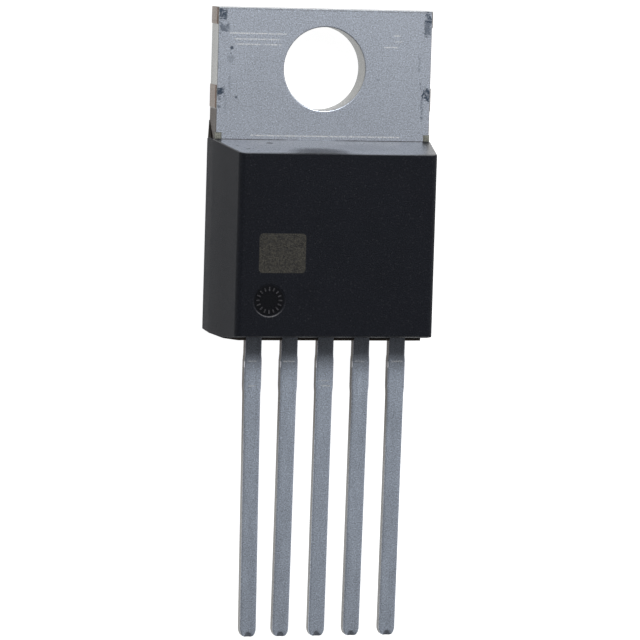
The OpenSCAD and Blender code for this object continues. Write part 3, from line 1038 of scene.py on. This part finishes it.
def bodyRings(look):
    side, end, back = (math.tan(math.radians(look[name])) for name in ("sideDraft", "endDraft", "backDraft"))
    plate, parting, thick = shared["plateThick"], shared["leadHeight"], shared["bodyThick"]
    steps = look["cornerSteps"]
    soft = look["backEdge"]
    rings = [roundRing(0, soft, soft, soft, steps), roundRing(soft, 0, 0, -soft * back, steps),
             roundRing(plate, 0, 0, -plate * back, steps),
             roundRing(parting, (parting - plate) * side, (parting - plate) * end, -parting * back, steps)]
    for k in range(look["edgeSteps"] + 1):
        turn = math.radians(90 * k / look["edgeSteps"])
        down = look["edgeAcross"] * (1 - math.sin(turn))
        curl = 1 - math.cos(turn)
        z = thick - down
        across, along = look["edgeAcross"] * curl, look["edgeAlong"] * curl
        rings.append(roundRing(z, (z - plate) * side + across, (z - plate) * end + along,
                               (z - parting) * end - parting * back + along, steps))
    return rings


def makeBody(look, inserts):
    body = meshFromRings("mouldedBody", bodyRings(look))
    foot = -bodyEnd - shared["leadHeight"] * math.tan(math.radians(look["backDraft"]))
    low, high = (shared["leadHeight"] + turn * (shared["leadThick"] / 2 - shared["bite"]) for turn in (-1, 1))
    end = look["damWidth"] / 2
    full = look["damTaper"] / 2 - end
    inside = -bodyEnd + shared["mouth"]
    dam = [(full - look["damTaper"], foot), (full, foot - look["damReach"]), (end, foot - look["damReach"]),
           (end, inside), (full - look["damTaper"], inside)]
    combine(body, prism("dam", dam, low, high), "UNION")
    for lock in resinLocks("lock", lockLook, shared["bite"], 0.5 * shared["bite"]):
        combine(body, lock, "UNION")
    radius, depth, top = look["markRadius"], look["markDepth"], shared["bodyThick"]
    outer = radius + look["markLip"]
    profile = [(radius - look["markSlope"], top - depth), (radius, top - depth * 0.1), (outer, top + 0.01),
               (outer, top + 0.1)]
    combine(body, lathe("pin", profile, look["markPlace"], look["markSteps"]), "DIFFERENCE")
    return castRound(body, inserts)


# Ticks in the ejector pin's mark: a generic ring, raised from the recess's floor
tickLook = {
    "count": 16,
    "ring": 0.52,      # radius of the ring's middle, mm
    "length": 0.2,
    "width": 0.065,
    "height": 0.035,
    "shortest": 0.75,  # share of the length that the shortest has
    "seed": 7,
    "rooted": 0.002,   # how deep they stand in the floor
}


def tickTree():
    sizes = ("Ring", "Length", "Width", "Height", "Shortest")
    graph, sockets, given = newTree("tickRing", sizes, ["Count", "Seed"])
    ring = graph.put("GeometryNodeCurvePrimitiveCircle", None,
                     {"Resolution": given("Count"), "Radius": given("Ring")})
    points = graph.put("GeometryNodeCurveToPoints", {"mode": "EVALUATED"}, {0: ring})
    outline = graph.put("GeometryNodeCurvePrimitiveQuadrilateral", None,
                        {"Width": given("Width"), "Height": given("Length")})
    rounded = given("Width") * 0.4
    outline = graph.put("GeometryNodeFilletCurve", {"mode": "POLY"},
                        {"Curve": outline, "Count": 3, "Radius": rounded, "Limit Radius": True})
    spine = graph.put("GeometryNodeCurvePrimitiveLine", None, {"End": graph.vector(Z=given("Height"))})
    bar = graph.put("GeometryNodeCurveToMesh", None,
                    {"Curve": spine, "Profile Curve": outline, "Fill Caps": True})
    number = graph.put("GeometryNodeInputIndex")
    turn = number * (2 * math.pi) / given("Count") + math.pi / 2
    random = graph.put("FunctionNodeRandomValue", {"data_type": "FLOAT"},
                       {2: given("Shortest"), 3: 1.0, "ID": number, "Seed": given("Seed")}, out=1)
    ticks = graph.put("GeometryNodeInstanceOnPoints", None,
                      {"Points": points, "Instance": bar,
                       "Rotation": graph.vector(Z=turn), "Scale": graph.vector(X=1.0, Y=random, Z=1.0)})
    endTree(graph, given, ticks)
    return graph.tree, sockets


def makeTicks(look, mark, material):
    tree, sockets = tickTree()
    place = (*mark["markPlace"], shared["bodyThick"] - mark["markDepth"] - look["rooted"])
    values = {name.title(): look[name] * mm for name in ("ring", "length", "width", "height")}
    values.update({name.title(): look[name] for name in ("shortest", "count", "seed")})
    values.update({"Place": Vector(place) * mm, "Material": material})
    return runTree("mouldMarkTicks", tree, sockets, values)


tabMaterial = tabTin(tinLook)
leadMaterial = leadTin(tinLook)
compoundMaterial = compound(compoundLook)
print("finishes mixed")

tree, sockets = leadTree(leadLook)
blades = [makeLead(number, leadLook, tree, sockets, leadMaterial) for number in range(len(leadLook["nodes"]))]
print("leads swept")
middle = leadLook["nodes"].index(None)
strip = makeStrip(tabLook, blades[middle])
blades[middle] = None
print("strip stamped")
inner = {
    "die_solder": sealedMetal("softSolder", seen(176, 176, 180), 0.45, 0.08, 0.3),
    "silicon_die": sealedMetal("siliconDie", seen(120, 126, 146), 0.25, 0.3, 0.15),
}
wireMetal = sealedMetal("drawnAluminium", seen(214, 214, 216), 0.3, 0.05, 0.2)
for name in ("enable_wire", "input_wire_outer", "input_wire_inner", "ground_wire",
             "output_wire_inner", "output_wire_outer", "adjust_wire"):
    inner[name] = wireMetal
cutters = [copyOfNode(name) for name in inner]
body = makeBody(bodyLook, [strip] + [blade for blade in blades if blade] + cutters)
for cutter in cutters:
    bpy.data.objects.remove(cutter)
print("body moulded")
ticks = makeTicks(tickLook, bodyLook, compoundMaterial)

dress(strip, tabMaterial, "tin_plate", "tab_and_ground_lead")
dress(body, compoundMaterial, "mould_compound", "mould_body")
dress(ticks, compoundMaterial, "mould_compound")
for blade, node in zip(blades, leadLook["nodes"]):
    if blade:
        dress(blade, leadMaterial, "tin_plate", node)
for name, material in inner.items():
    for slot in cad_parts[name].material_slots:
        slot.material = material
print("pieces dressed")
